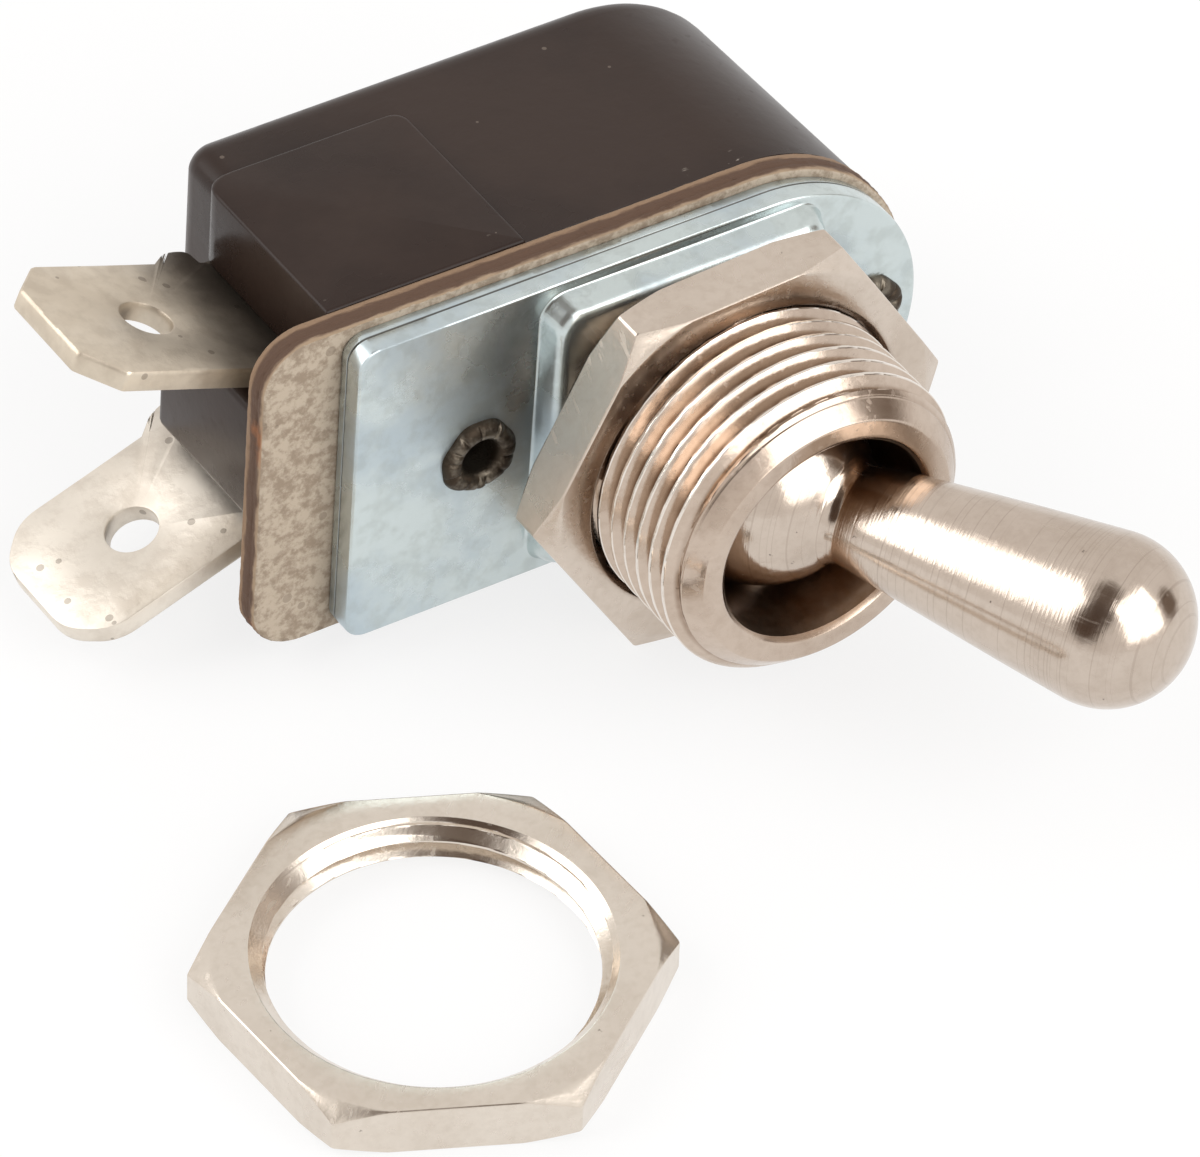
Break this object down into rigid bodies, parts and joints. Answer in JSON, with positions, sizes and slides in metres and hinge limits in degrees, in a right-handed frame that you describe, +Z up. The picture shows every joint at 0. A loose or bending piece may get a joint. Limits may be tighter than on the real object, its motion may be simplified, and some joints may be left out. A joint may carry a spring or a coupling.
{
  "type": "panel toggle switch",
  "caption": "Panel toggle switch with a bat lever, a threaded barrel with hexagon nuts, a black D-shaped case and splayed tab terminals.",
  "frame": {"origin": "centre of the barrel at the panel plane, which is the front face of the back nut", "axes": "-Y along the barrel towards the lever, -X towards the terminals, +Z up from the long side that it lies on"},
  "size_m": [0.0357, 0.0352, 0.0166],
  "materials": {
    "case_black": "satin moulded thermoset",
    "fibre_brown": "vulcanised fibre sheet",
    "zinc_plate": "bluish zinc plating",
    "barrel_nickel": "worn nickel plating",
    "nut_nickel": "satin nickel plating",
    "loose_nut_nickel": "satin nickel plating",
    "lever_nickel": "polished nickel plating",
    "tab_upper_tin": "tinned, slightly sooty",
    "tab_lower_tin": "tinned",
    "eyelet_metal": "tarnished plating",
    "steel": "drawn wire and pins",
    "plunger_plastic": "moulded insulator",
    "bridge_copper": "copper alloy strip",
    "contact_silver": "silver"
  },
  "bodies": {
    "base": {"housing": "case_black", "gasket": "fibre_brown", "frame_plate": "zinc_plate", "bushing": "barrel_nickel", "back_nut": "nut_nickel", "front_nut": "loose_nut_nickel", "rocker_pin": "steel", "terminal_upper": "tab_upper_tin", "terminal_lower": "tab_lower_tin", "fixed_contact_upper": "contact_silver", "fixed_contact_lower": "contact_silver", "eyelet_left": "eyelet_metal", "eyelet_right": "eyelet_metal"},
    "lever": {"lever": "lever_nickel", "lever_pin": "steel", "plunger_spring": "steel"},
    "plunger": {"plunger": "plunger_plastic"},
    "bridge": {"contact_bridge": "bridge_copper", "bridge_contact_upper": "contact_silver", "bridge_contact_lower": "contact_silver"}
  },
  "joints": [
    {"name": "lever_throw", "type": "hinge", "parent": "base", "child": "lever", "pos_m": [0, -0.0007, 0], "axis": [0, 0, -1], "range_deg": [0, 50]},
    {"name": "plunger_slide", "type": "slide", "parent": "lever", "child": "plunger", "axis": [0.4226, -0.9063, 0], "range_m": [0, 0.001], "stiffness_N_per_m": 300, "springref_m": -0.003, "deforming": ["plunger_spring"]},
    {"name": "bridge_rocking", "type": "hinge", "parent": "base", "child": "bridge", "pos_m": [0, 0.01275, 0], "axis": [0, 0, -1], "range_deg": [-12, 0]}
  ],
  "couplings": [
    {"joint": "bridge_rocking", "follows": "lever_throw", "ratio": -0.24}
  ]
}
